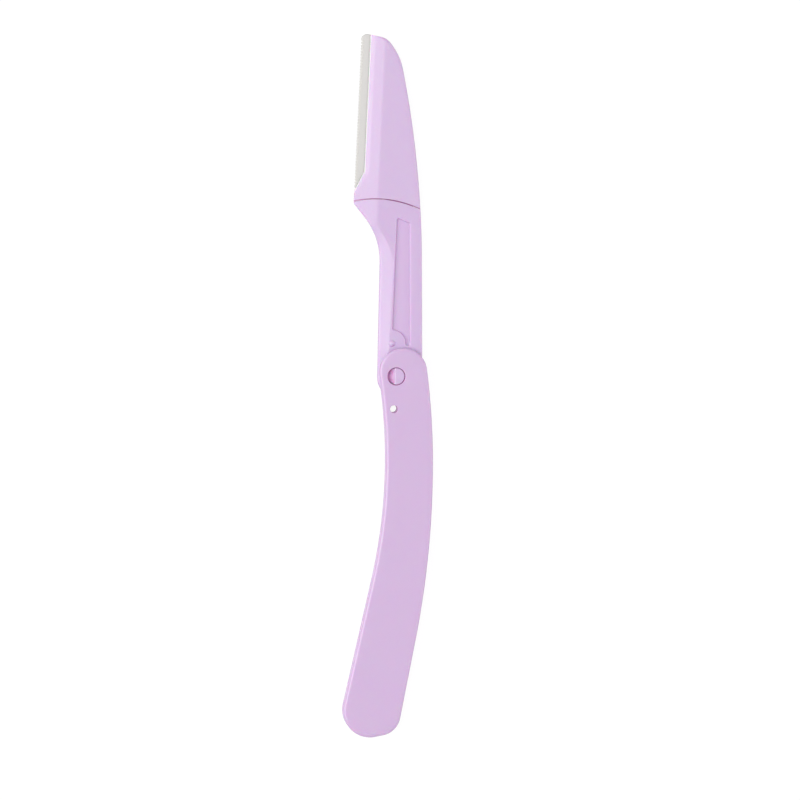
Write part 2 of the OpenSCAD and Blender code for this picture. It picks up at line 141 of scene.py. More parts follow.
# Head
EDGE_REACH = 10.7
EDGE_LEAN = 2.7
NOSE_R = 1.2
TOP_SLOPE = 11.0
CROWN_R = 3.6
SHOULDER_R = 13.0
SHOULDER_TURN = 11.1
BACK_START = 24.9
BACK_R = 214.0
HEAD_EDGE = 0.6
HEAD_EDGE_DROP = 0.45
STRIP_WIDTH = 1.9
LIP_HALF = 0.5
STEEP_WIDTH = 1.0
STEEP_RISE = 0.32
GENTLE_WIDTH = 2.27
KINK_RISE = 6.1
KINK_ANGLE = 24.0
FOOT_SHARE = 0.85
SEAM_R = 21.5
SEAM_LEFT = 4.4
SEAM_HEIGHT = 37.7
SEAM_GAP = 0.05
GROOVE_WIDTH = 0.2
GROOVE_HALF = 0.64
CREASE = 0.05
SEAM_EDGE = 0.05
SEAM_STEP = 0.01
LIP_EDGE = 0.16
LIP_EDGE_DROP = 0.13

# Blade and guard
BLADE_THICK = 0.3
BLADE_WIDTH = 4.9
FIT = 0.01
POST_R = 0.8
POST_PITCH = 12.5
POST_MARGIN = 3.5
TIP_COVER = 1.0
GUARD_SHEET = 0.1
GUARD_WIDTH = 2.4
GUARD_CLEARANCE = 0.02
TOOTH_PITCH = 0.634
SLIT_WIDTH = 0.3
SLIT_DEPTH = 0.55
TOOTH_EDGE = 0.02
TOOTH_LAP = 0.03
TOOTH_SINK = 0.003
FOLD_RIM = 0.02
FOLD_POINTS = 11

# Finishes, and painted shade and highlights, as colours from 0 to 255 on a screen
HANDLE_TINT = (216, 184, 226)
SHANK_TINT = (216, 186, 228)
HEAD_TINT = (218, 189, 229)
# Painted shade inside the handle's bore and detent hole
HOLE_PAINTED_SHADE = (190, 96, 172)
# Painted shade in the groove between the shank and the head
SEAM_PAINTED_SHADE = (196, 96, 178)
# Painted light on the pivot boss's ramp, deep in the bore
RAMP_PAINTED_LIGHT = (255, 206, 246)
# A pinker tint painted over the recess to colour its shade
RECESS_PAINTED_SHADE = (217, 186, 228)
# Painted shade on the recess walls that face away from the light
RECESS_WALL_PAINTED_SHADE = (231, 181, 226)
# Painted highlight along the rounded edge of the lip
LIP_PAINTED_HIGHLIGHT = (255, 243, 252)
SHEET_TINT = (205, 203, 202)
FOLD_TINT = (198, 196, 194)
BLADE_TINT = (204, 202, 200)
# Painted shade on the blade's edge, where it shows between the comb's teeth
BLADE_EDGE_PAINTED_SHADE = (192, 190, 188)

# How far these colours reach, the painted shade and highlights among them
LIP_HIGHLIGHT_FADE = 0.08
SEAM_SHADE_DROP = 4.0
SEAM_SHADE_FADE = 1.0
RAMP_LIGHT_REACH = 1.1
RECESS_SLANT = 1.2
RECESS_LIT_WALL = 0.8
RECESS_WALL_FADE = 0.01
FOLD_GREY = 0.3
FOLD_FADE = 0.25
BLADE_SHADE_WIDTH = 0.6

# The plastic: its clouds, mottle and grain, and how deep light enters it
CLOUD_SIZE = 14.0
CLOUD_DARK = 1
MOTTLE_SIZE = 1.6
MOTTLE_PALE = 2
MOTTLE_SHARE = 0.5
GRAIN_SIZE = 0.16
GRAIN_DEPTH = 0.03
PLASTIC_ROUGH = 0.36
MOTTLE_ROUGH = 0.06
GRAIN_ROUGH = 0.08
SKIN_DEPTH = 0.7
SKIN_SPREAD = (1.0, 0.4, 0.7)

# The steel: its rolling lines and blotches
ROLLED_SIZE = 0.05
ROLLED_STRETCH = 0.06
ROLLED_DEPTH = 0.01
ROLLED_ROUGH = 0.1
ROLLED_SHARE = 0.5
BLOTCH_SIZE = 0.35
BLOTCH_SHARE = 0.4
STEEL_DARK = 14
EDGE_GREY_SHARE = 0.75
EDGE_GREY_BLOTCH_SHARE = 0.5
SHEET_ROUGH = 0.62
BLADE_ROUGH = 0.5

# Fineness of the meshes
CHORD_ERROR = 0.003
STRAIGHT_STEP = 1.5
ROUND_STEPS = 6
CREASE_SHARES = (-1, -0.5, 0, 0.5, 1)
BEVEL_SHARES = (0.25, 0.5, 0.75, 0.9, 1)
BUMP_SHARES = (0.15, 0.4, 0.6, 0.8, 0.9, 1, 1.1, 1.2)
BUMP_AREA_SHARE = 1.25
RAMP_TOP_LINES = (0.08, 0.03, -0.03, -0.08)
RECESS_LIP_POINTS = 6
RECESS_FOOT_POINTS = 5
SMOOTH_ANGLE = 32
MERGE_WITHIN = 1e-4
TINY = 1e-12

# Reach of helping lines: past all of the razor, past its sides, and past an outline
FAR = 200.0
ACROSS = 20.0
PAST = 1.0
EDGE_SPAN = (25.0, 80.0)
KINK_SPAN = (2.0, 12.0)
SEAM_SPAN = (40, 125)
SEAM_MARGIN = 0.3

# The white table: half its side in metres, how far it stays below the handle's back face, how it
# lights the razor, and the shade and glow that are seen
TABLE_HALF = 30.0
TABLE_DROP = 0.02
TABLE_CARD = 0.8
TABLE_SHADE = 0.12
TABLE_GLOW = 0.93

# The room: its light on the razor and its backdrop, and each softbox's size and place in metres, the
# brightness of its face where white is 1, and its colour
ROOM_LIGHT = 0.445
BACKDROP_LIGHT = 1.0
SOFTBOXES = (
    ("left_softbox", (1.1, 1.6), (-0.9, 0.15, 1.19), 2.5, (0.99, 1.0, 0.97)),
    ("right_card", (0.8, 1.2), (1.15, -0.1, 0.98), 1.2, (1.0, 0.99, 1.0)),
)

# The photograph's view: a square picture in pixels, a pixel in millimetres, the pivot's place in
# pixels, the way toward the camera, its distance in metres and its sensor
PICTURE_SIZE = 800
PIXEL = 0.2131
PIVOT_PIXEL = (396.4, 376.4)
VIEW_FROM = (-0.056, 0.038, 1.0)
VIEW_DISTANCE = 2.4
SENSOR = 36
CLIP = (0.1, 100)

HANDLE_HALF = HANDLE_THICK / 2
SLOT_HALF = HANDLE_HALF - PLATE_WALL
ARM_HALF = ARM_THICK / 2
GUARD_HALF = BLADE_THICK / 2 + GUARD_SHEET


def toward(angle):
    """Unit vector at an angle from the +X side, in degrees."""
    return np.array([cos(radians(angle)), sin(radians(angle))])


def meet(angle_a, dist_a, angle_b, dist_b):
    """Point that lies a given distance along each of two directions."""
    return np.linalg.solve([toward(angle_a), toward(angle_b)], [dist_a, dist_b])


def arc(centre, radius, start, end):
    """Points along an arc, close enough together to look round."""
    step = degrees(2 * acos(1 - CHORD_ERROR / max(abs(radius), 4 * CHORD_ERROR)))
    turns = np.linspace(start, end, max(2, ceil(abs(end - start) / step)) + 1)
    return [np.asarray(centre) + toward(turn) * radius for turn in turns]


def straight(start, end):
    """Points along a straight line, ends included."""
    start, end = np.asarray(start, float), np.asarray(end, float)
    steps = max(1, ceil(np.linalg.norm(end - start) / STRAIGHT_STEP))
    return [start + (end - start) * part for part in np.linspace(0, 1, steps + 1)]


def circle(centre, radius):
    """Points round a circle, its first point repeated at the end."""
    return arc(centre, radius, 0, 360)


def evenly(wide, bends):
    """Bends whose softened edge is equally wide all along."""
    return [(*bend, wide, wide) for bend in bends]


class Outline:
    """A closed outline of bends that run into each other along straight tangents.

    A bend is its centre, its radius, the angles of its outward normal at its start and end, and the
    width of the softened edge at its start and end. A hollow bend has a negative radius.
    """

    def __init__(self, bends):
        self.points, self.normals, self.widths = [], [], []
        for centre, radius, start, end, wide, wide_end in bends:
            if self.points:
                self.join(centre + toward(start) * radius, start, wide)
            for part in np.linspace(0, 1, len(arc(centre, radius, start, end))):
                angle = start + (end - start) * part
                self.add(centre + toward(angle) * radius, angle, wide + (wide_end - wide) * part)
        centre, radius, start, _, wide, _ = bends[0]
        self.join(centre + toward(start) * radius, start, wide)
        self.points, self.normals, self.widths = map(np.array, (self.points, self.normals, self.widths))

    def add(self, point, angle, wide):
        self.points.append(point)
        self.normals.append(toward(angle))
        self.widths.append(wide)

    def join(self, end, angle, wide):
        """Adds the points of the straight stretch up to the next bend, without its ends."""
        last, last_wide = self.points[-1], self.widths[-1]
        steps = ceil(np.linalg.norm(end - last) / STRAIGHT_STEP)
        for step in range(1, steps):
            part = step / steps
            self.add(last + (end - last) * part, angle, last_wide + (wide - last_wide) * part)

    def ring(self, inset=0.0, share=0.0):
        """The outline moved inwards by a distance and by a share of its softened edge."""
        moved = self.points - self.normals * (inset + share * self.widths)[:, None]
        return [*moved, moved[0]]

    def probe(self, places):
        """How far inside the outline each place is, and how wide the softened edge is there."""
        start, end = self.points, np.roll(self.points, -1, axis=0)
        wide, wide_end = self.widths, np.roll(self.widths, -1)
        way = end - start
        length = np.maximum((way**2).sum(1), TINY)
        arm = places[:, None] - start
        along = np.clip((arm * way).sum(2) / length, 0, 1)
        gap = arm - along[..., None] * way
        away = np.sqrt((gap**2).sum(2))
        near = away.argmin(1)
        row = np.arange(len(places))
        share = along[row, near]
        above = (start[:, 1] > places[:, None, 1]) != (end[:, 1] > places[:, None, 1])
        rise = np.where(np.abs(way[:, 1]) < TINY, TINY, way[:, 1])
        crossing = start[:, 0] + (places[:, None, 1] - start[:, 1]) * way[:, 0] / rise
        inside = ((above & (places[:, None, 0] < crossing)).sum(1) % 2) == 1
        depth = np.where(inside, away[row, near], -away[row, near])
        return depth, wide[near] + (wide_end[near] - wide[near]) * share

    def depth(self, places):
        return self.probe(places)[0]


def rounding(depth, width, drop):
    """Fall of a rounded edge: its whole drop at the rim, and none from its width inwards."""
    share = np.clip(depth / width, 0, 1)
    return drop * (1 - np.sqrt(1 - (1 - share) ** 2))


# Places across a rounded edge, as shares of its width, at which a ring follows its curve
round_shares = [1 - cos(pi / 2 * step / ROUND_STEPS) for step in range(ROUND_STEPS + 1)]


def least(first, second, blend=CREASE):
    """The lower of two surfaces, with a small fillet where they cross."""
    near = np.maximum(blend - np.abs(first - second), 0) / blend
    return np.minimum(first, second) - near**2 * blend / 4


def most(first, second, blend=CREASE):
    """The higher of two surfaces, with a small fillet where they cross."""
    return -least(-first, -second, blend)


# Outline of the handle
round_end = np.array([ROUND_END_R - RIM_LEFT, ROUND_END_LIFT])
concave_centre = round_end + toward(180 + RIM_TURN) * (ROUND_END_R + CONCAVE_R)
concave_line = concave_centre @ toward(180 - CONCAVE_LEAN) - CONCAVE_R
tail_left = meet(180 - CONCAVE_LEAN, concave_line - TAIL_LEFT_R, 270, HANDLE_REACH - TAIL_LEFT_R)
tail_line = tail_left @ toward(270 + TAIL_TILT) + TAIL_LEFT_R
convex_centre = np.array([BELLY_OUT - CONVEX_R, -BELLY_DROP])
convex_line = convex_centre @ toward(-CONVEX_LEAN) + CONVEX_R
tail_out = 270 + TAIL_TILT
tail_right = meet(tail_out, tail_line - TAIL_RIGHT_R, -CONVEX_LEAN, convex_line - TAIL_RIGHT_R)
belly_run = np.array([BELLY_OUT - round_end[0], round_end[1] + BELLY_DROP])
upper_r = (belly_run @ belly_run - ROUND_END_R**2) / (2 * (belly_run[0] - ROUND_END_R))
upper_centre = np.array([BELLY_OUT - upper_r, -BELLY_DROP])
upper_turn = degrees(np.arctan2(*(round_end - upper_centre)[::-1]))

handle_outline = Outline(evenly(HANDLE_EDGE, [
    (round_end, ROUND_END_R, upper_turn, 180 + RIM_TURN),
    (concave_centre, -CONCAVE_R, 180 + RIM_TURN, 180 - CONCAVE_LEAN),
    (tail_left, TAIL_LEFT_R, 180 - CONCAVE_LEAN, tail_out),
    (tail_right, TAIL_RIGHT_R, tail_out, 360 - CONVEX_LEAN),
    (convex_centre, CONVEX_R, 360 - CONVEX_LEAN, 360),
    (upper_centre, upper_r, 360, 360 + upper_turn),
]))

# Right side of the slot, from the tail wall to the round end
slot_floor = HANDLE_REACH - TAIL_WALL
slot_line = convex_line - SPINE_WALL
slot_corner = meet(270, slot_floor - SLOT_CORNER_R, -CONVEX_LEAN, slot_line - SLOT_CORNER_R)
slot_side = [
    np.array([-FAR, -slot_floor]),
    *arc(slot_corner, SLOT_CORNER_R, 270, 360 - CONVEX_LEAN),
    *arc(convex_centre, CONVEX_R - SPINE_WALL, 360 - CONVEX_LEAN, 360),
    *arc(upper_centre, upper_r - SPINE_WALL, 0, upper_turn),
]

# Outline of the shank and the head together
heel = np.array([HEEL_RIGHT, -HEEL_DROP])
left_line = heel @ toward(180 - LEFT_LEAN) + HEEL_R
right_line = heel @ toward(RIGHT_LEAN) + HEEL_R
flare_foot = meet(180 - LEFT_LEAN, left_line, 90, SEAM_HEIGHT - FLARE_DROP)
flare_centre = flare_foot + toward(180 - LEFT_LEAN) * FLARE_R
flare_line = flare_centre @ toward(180 + FLARE_SLOPE) - FLARE_R
flare_corner = meet(
    180 - EDGE_LEAN, EDGE_REACH - FLARE_CORNER_R, 180 + FLARE_SLOPE, flare_line - FLARE_CORNER_R
)
back_centre = meet(RIGHT_LEAN, right_line, 90, BACK_START) - toward(RIGHT_LEAN) * BACK_R
nose = meet(180 - EDGE_LEAN, EDGE_REACH - NOSE_R, 90, TIP_REACH - NOSE_R)
shoulder = back_centre + toward(SHOULDER_TURN) * (BACK_R - SHOULDER_R)
crown_from = nose + toward(90 - TOP_SLOPE) * (NOSE_R - CROWN_R)
crown_way = toward(-TOP_SLOPE)
crown_arm = crown_from - shoulder
crown_along = crown_arm @ crown_way
crown_step = sqrt(crown_along**2 - crown_arm @ crown_arm + (SHOULDER_R - CROWN_R) ** 2)
crown = crown_from + crown_way * (crown_step - crown_along)
crown_turn = degrees(np.arctan2(*(crown - shoulder)[::-1]))


def arm_outline(low, high, rest):
    """The arm, with its softened edge's width left of the heel, at the flare's foot and elsewhere."""
    return Outline([
        (heel, HEEL_R, 180 - LEFT_LEAN, 360 + RIGHT_LEAN, low, rest),
        (back_centre, BACK_R, 360 + RIGHT_LEAN, 360 + SHOULDER_TURN, rest, rest),
        (shoulder, SHOULDER_R, 360 + SHOULDER_TURN, 360 + crown_turn, rest, rest),
        (crown, CROWN_R, 360 + crown_turn, 450 - TOP_SLOPE, rest, rest),
        (nose, NOSE_R, 450 - TOP_SLOPE, 540 - EDGE_LEAN, rest, rest),
        (flare_corner, FLARE_CORNER_R, 540 - EDGE_LEAN, 540 + FLARE_SLOPE, rest, rest),
        (flare_centre, -FLARE_R, 540 + FLARE_SLOPE, 540 - LEFT_LEAN, rest, high),
    ])


shank_outline = arm_outline(BEVEL_LOW, BEVEL_HIGH, SOFT_EDGE)
head_outline = arm_outline(HEAD_EDGE, HEAD_EDGE, HEAD_EDGE)

# The cutting edge: depth is the distance behind it, and rise runs along it
edge_out = toward(180 - EDGE_LEAN)
edge_up = toward(90 - EDGE_LEAN)
edge_foot = edge_out * EDGE_REACH
lip_at = STRIP_WIDTH
flat_at = lip_at + STEEP_WIDTH + GENTLE_WIDTH
steep_slope = STEEP_RISE / STEEP_WIDTH
gentle_slope = (ARM_HALF - LIP_HALF - STEEP_RISE) / GENTLE_WIDTH
kink_at = (SEAM_HEIGHT + KINK_RISE - edge_foot[1]) / edge_up[1]
blade_foot = kink_at - FOOT_SHARE * STRIP_WIDTH / tan(radians(KINK_ANGLE))
edge_end = (TIP_REACH - edge_foot[1]) / edge_up[1]
seam_centre = np.array([-SEAM_LEFT, SEAM_HEIGHT - SEAM_R])
recess_top = SEAM_HEIGHT - RECESS_DROP
bump_place = toward(BUMP_ANGLE) * DETENT_REACH
detent_place = toward(BUMP_ANGLE + FOLD_ANGLE) * DETENT_REACH
handle_holes = (((0, 0), BORE_R), (detent_place, DETENT_R))


def at_edge(depth, rise):
    """The place at a depth behind the cutting edge and a rise along it."""
    return edge_foot - edge_out * depth + edge_up * rise


def edge_depth(places):
    return EDGE_REACH - places @ edge_out


def edge_rise(places):
    return (places - edge_foot) @ edge_up


kink_point = at_edge(lip_at, kink_at)
kink_out = toward(180 - EDGE_LEAN - KINK_ANGLE)


def kinked_depth(places):
    """Depth measured from the stretch of the lip that turns outwards to the cutting edge."""
    return lip_at + (kink_point - places) @ kink_out


def distance(places, centre):
    return np.linalg.norm(places - centre, axis=1)


def moulding(name, curves, region, top, gaps=()):
    """A moulding that is alike on both faces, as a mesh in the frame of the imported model.

    curves are the lines that its surface may crease, curve or end along. region says which places it
    fills, and top gives half its thickness. gaps are spaces at the middle plane, the lowest first: each
    is a test of places and a rule for half its height.
    """
    places, lines = [], []
    for curve in curves:
        first = len(places)
        places += [Vector(point) for point in curve]
        lines += [(i, i + 1) for i in range(first, len(places) - 1)]
    found = delaunay_2d_cdt(places, lines, [], 0, MERGE_WITHIN)
    spots = np.array([tuple(spot) for spot in found[0]])
    faces = np.array([tuple(face) for face in found[2]])

    # The layer that each face starts at: none outside, 0 where it is solid, or its gap's number
    middles = spots[faces].mean(1)
    level = np.where(region(middles), 0, -1)
    for index, (test, _) in enumerate(gaps, 1):
        level = np.where((level >= 0) & test(middles), index, level)
    faces, level = faces[level >= 0], level[level >= 0]
    heights = [np.zeros(len(spots)), *(rule(spots) for _, rule in gaps), top(spots)]
    last = len(heights) - 1
    corners, numbers = [], {}

    def corner(spot, layer, side):
        key = (spot, layer, side)
        if key not in numbers:
            numbers[key] = len(corners)
            corners.append((*spots[spot], side * heights[layer][spot]))
        return numbers[key]

    beside = {}
    for face, layer in zip(faces, level):
        for i, j in zip(face, np.roll(face, -1)):
            beside[int(i), int(j)] = int(layer)
    polygons = []

    def wall(i, j, low, high):
        """The upright faces over an edge, from one layer to another, on both sides."""

        def upright(below, above):
            ends = ((i, below), (j, below), (j, above), (i, above))
            polygons.append([corner(spot, *layer) for spot, layer in ends])

        if low == 0:
            upright((1, -1), (1, 1))
        for layer in range(max(low, 1), high):
            upright((layer, 1), (layer + 1, 1))
            upright((layer + 1, -1), (layer, -1))

    for face, layer in zip(faces.tolist(), level.tolist()):
        polygons.append([corner(i, last, 1) for i in face])
        polygons.append([corner(i, last, -1) for i in reversed(face)])
        if layer:
            polygons.append([corner(i, layer, 1) for i in reversed(face)])
            polygons.append([corner(i, layer, -1) for i in face])
        for i, j in zip(face, face[1:] + face[:1]):
            other = beside.get((j, i), last)
            if other > layer:
                wall(i, j, layer, other)
    mesh = bpy.data.meshes.new(name)
    mesh.from_pydata([tuple(PIVOT + Vector(point) * MM) for point in corners], [], polygons)
    return finished(name, mesh)


def put_in_scene(name, data):
    """An object for a mesh, a lamp or a camera."""
    thing = bpy.data.objects.new(name, data)
    bpy.context.scene.collection.objects.link(thing)
    return thing


def finished(name, mesh):
    """An object for a mesh, shaded smooth up to its creases, with its broad faces kept flat."""
    mesh.validate()
    mesh.shade_smooth()
    mesh.set_sharp_from_angle(angle=radians(SMOOTH_ANGLE))
    piece = put_in_scene(name, mesh)
    weigh = piece.modifiers.new("Broad faces stay flat", "WEIGHTED_NORMAL")
    weigh.keep_sharp = True
    weigh.weight = 100
    return piece


def make_handle():
    """Two plates joined by a spine along the convex side and by a wall at the tail."""
    arm_pocket = arm_outline(0, 0, 0)
    curves = [handle_outline.ring(0, share) for share in round_shares]
    curves += [handle_outline.ring(MOUTH_EDGE * share, 0) for share in round_shares[1:]]
    for place, radius in handle_holes:
        curves += [circle(place, radius + BORE_EDGE * share) for share in round_shares]
    curves += [slot_side, straight((-ACROSS, SPINE_TOP), (ACROSS, SPINE_TOP))]
    curves.append(arm_pocket.ring(-POCKET_GAP))

    def region(places):
        solid = handle_outline.depth(places) > 0
        for place, radius in handle_holes:
            solid &= distance(places, place) > radius
        return solid

    def top(places):
        fall = rounding(handle_outline.depth(places), HANDLE_EDGE, HANDLE_EDGE_DROP)
        for place, radius in handle_holes:
            fall = fall + rounding(distance(places, place) - radius, BORE_EDGE, BORE_EDGE)
        return HANDLE_HALF - fall

    def in_slot(places):
        side = np.array(slot_side[1:])
        reach = np.interp(places[:, 1], side[:, 1], side[:, 0])
        low = (places[:, 1] > -slot_floor) & (places[:, 0] < reach) & (places[:, 1] < side[-1, 1])
        return low | (places[:, 1] > SPINE_TOP) | (arm_pocket.depth(places) > -POCKET_GAP)

    def slot_height(places):
        return SLOT_HALF + rounding(handle_outline.depth(places), MOUTH_EDGE, MOUTH_EDGE)

    return moulding("handle_moulding", curves, region, top, [(in_slot, slot_height)])


def recess_outline():
    """Edge of the long recess beside the bump's land."""
    end_r = (RECESS_RIGHT - bump_place[0] - LAND_R) / 2
    end = np.array([RECESS_RIGHT - end_r, bump_place[1]])
    left_out = 180 - RECESS_LEAN
    left = np.array([RECESS_LEFT, recess_top]) @ toward(left_out)
    top_out = 90 - RECESS_SLOPE
    top = np.array([RECESS_LEFT, recess_top]) @ toward(top_out)
    r = RECESS_CORNER_R
    upper_right = meet(0, RECESS_RIGHT - r, top_out, top - r)
    upper_left = meet(top_out, top - r, left_out, left - r)
    # The last corner touches the left side and the land
    sideways = left - r - bump_place @ toward(left_out)
    upwards = sqrt((LAND_R + r) ** 2 - sideways**2)
    lower_left = bump_place + toward(left_out) * sideways + toward(left_out - 90) * upwards
    land_turn = degrees(np.arctan2(*(lower_left - bump_place)[::-1]))
    return Outline(evenly(0, [
        (end, end_r, 180, 360),
        (upper_right, r, 360, 360 + top_out),
        (upper_left, r, 360 + top_out, 360 + left_out),
        (lower_left, r, 360 + left_out, 540 + land_turn),
        (bump_place, -LAND_R, 540 + land_turn, 540),
    ]))


def recess_profile():
    """Places across the recess's wall, from outside in, and how far the surface has fallen."""
    lip = [
        (-RECESS_LIP_R * (1 - share), RECESS_LIP_R * (1 - sqrt(1 - share * share)))
        for share in np.linspace(0, 1, RECESS_LIP_POINTS)
    ]
    foot_top = RECESS_DEPTH - RECESS_FLOOR_R
    foot = [
        (RECESS_DRAFT + RECESS_FLOOR_R * (1 - cos(turn)), foot_top + RECESS_FLOOR_R * sin(turn))
        for turn in np.linspace(0, pi / 2, RECESS_FOOT_POINTS)
    ]
    return np.array(lip + foot)


def tang_reach(play, end_gap):
    """Half the width and the upper end of the tang, or of the socket for it."""
    return TANG_WIDTH / 2 + play, SEAM_HEIGHT + TANG_LENGTH + end_gap


def tang_line(play, end_gap):
    """Outline of the tang, or of the socket for it."""
    half, top = tang_reach(play, end_gap)
    inner = half - TANG_CORNER_R
    return [
        np.array([TANG_RIGHT + half, recess_top]),
        *arc([TANG_RIGHT + inner, top - TANG_CORNER_R], TANG_CORNER_R, 0, 90),
        *arc([TANG_RIGHT - inner, top - TANG_CORNER_R], TANG_CORNER_R, 90, 180),
        np.array([TANG_RIGHT - half, recess_top]),
    ]


def in_tang(places, play, end_gap):
    """Whether each place lies on the tang, or in the socket for it."""
    half, top = tang_reach(play, end_gap)
    aside, along = np.abs(places[:, 0] - TANG_RIGHT), places[:, 1]
    near = (along > recess_top) & (along < top) & (aside < half)
    corner = np.hypot(aside - half + TANG_CORNER_R, along - top + TANG_CORNER_R)
    cut = (aside > half - TANG_CORNER_R) & (along > top - TANG_CORNER_R) & (corner > TANG_CORNER_R)
    return near & ~cut


def seam_arc(radius):
    """The seam's curve, past both edges of the arm."""
    return arc(seam_centre, radius, *SEAM_SPAN)


def edge_lines(offsets, ends=EDGE_SPAN):
    """Lines along the cutting edge at these depths."""
    return [straight(at_edge(depth, ends[0]), at_edge(depth, ends[1])) for depth in offsets]


def crease_lines(slope):
    """Offsets either side of a crease between surfaces that differ by this slope."""
    return [CREASE / slope * share for share in CREASE_SHARES]


def gentle_plane(places):
    return ARM_HALF - gentle_slope * (flat_at - edge_depth(places))


gentle_lines = [flat_at + offset for offset in crease_lines(gentle_slope)]


def make_shank():
    """The piece between the handle's plates and the head, with its bosses, bumps and tang."""
    recess = recess_outline()
    profile = recess_profile()
    bump_height = SIDE_GAP - BUMP_CLEARANCE
    bump_sphere_r = (BUMP_R**2 + bump_height**2) / (2 * bump_height)
    boss_top = HANDLE_HALF - BOSS_SETBACK
    pad_top = SLOT_HALF - PAD_CLEARANCE

    curves = [shank_outline.ring(0, share) for share in BEVEL_SHARES]
    curves += [shank_outline.ring(EDGE_ROUND * share, 0) for share in round_shares]
    curves += [recess.ring(offset) for offset in profile[:, 0]]
    curves += [circle(bump_place, BUMP_R * share) for share in BUMP_SHARES]
    curves += [circle((0, 0), BOSS_R - BOSS_EDGE * (1 - share)) for share in (0, 0.5, 1)]
    for radius in (BOSS_R + WALL_DRAFT, PAD_R - PAD_EDGE, PAD_R, PAD_R + WALL_DRAFT):
        curves.append(circle((0, 0), radius))
    ramp_end = RAMP_RIDGE + (boss_top - pad_top) / tan(radians(RAMP_SLOPE))
    for x in [*(aside - RAMP_RIDGE for aside in RAMP_TOP_LINES), -ramp_end]:
        curves.append(straight((x, -BOSS_R), (x, BOSS_R)))
    curves += [seam_arc(SEAM_R - SEAM_EDGE * share) for share in round_shares]
    curves += [seam_arc(SEAM_R - SEAM_MARGIN), seam_arc(SEAM_R + SEAM_STEP), tang_line(0, 0)]
    curves += edge_lines(gentle_lines)

    def region(places):
        below = distance(places, seam_centre) < SEAM_R
        below |= places[:, 1] < seam_centre[1]
        return (shank_outline.depth(places) > 0) & below | in_tang(places, 0, 0)

    def top(places):
        depth, width = shank_outline.probe(places)
        broad = np.clip((width - SOFT_EDGE) / (BEVEL_LOW - SOFT_EDGE), 0, 1)
        bevel = ARM_HALF - BEVEL_DROP * broad * (1 - depth / width)
        surface = least(bevel, ARM_HALF, CREASE / 2)
        surface = least(surface, gentle_plane(places))
        surface = surface - rounding(depth, EDGE_ROUND, EDGE_ROUND_DROP)

        fall = np.interp(recess.depth(places), profile[:, 0], profile[:, 1], 0, RECESS_DEPTH)
        share = fall / RECESS_DEPTH
        surface = surface * (1 - share) + (ARM_HALF - RECESS_DEPTH) * share
        aside = distance(places, bump_place)
        cap = ARM_HALF + bump_height - bump_sphere_r
        cap = cap + np.sqrt(np.maximum(bump_sphere_r**2 - aside**2, 0))
        surface = np.where(aside < BUMP_R * BUMP_AREA_SHARE, most(surface, cap, BUMP_BLEND), surface)

        seam_depth = SEAM_R - distance(places, seam_centre)
        above_middle = places[:, 1] > seam_centre[1]
        surface = surface - np.where(above_middle, rounding(seam_depth, SEAM_EDGE, SEAM_EDGE), 0)
        surface = np.where(above_middle & (seam_depth < -SEAM_STEP / 2), TANG_THICK / 2, surface)

        from_pivot = distance(places, (0, 0))
        pad = pad_top - rounding(PAD_R - from_pivot, PAD_EDGE, PAD_EDGE)
        surface = np.where(from_pivot <= PAD_R + WALL_DRAFT / 2, pad, surface)
        ramp = boss_top - tan(radians(RAMP_SLOPE)) * (-RAMP_RIDGE - places[:, 0])
        boss = least(boss_top, ramp, RAMP_BLEND)
        boss = boss - np.clip(from_pivot - BOSS_R + BOSS_EDGE, 0, BOSS_EDGE)
        return np.where(from_pivot <= BOSS_R + WALL_DRAFT / 2, np.maximum(boss, pad_top), surface)

    return moulding("shank_moulding", curves, region, top)


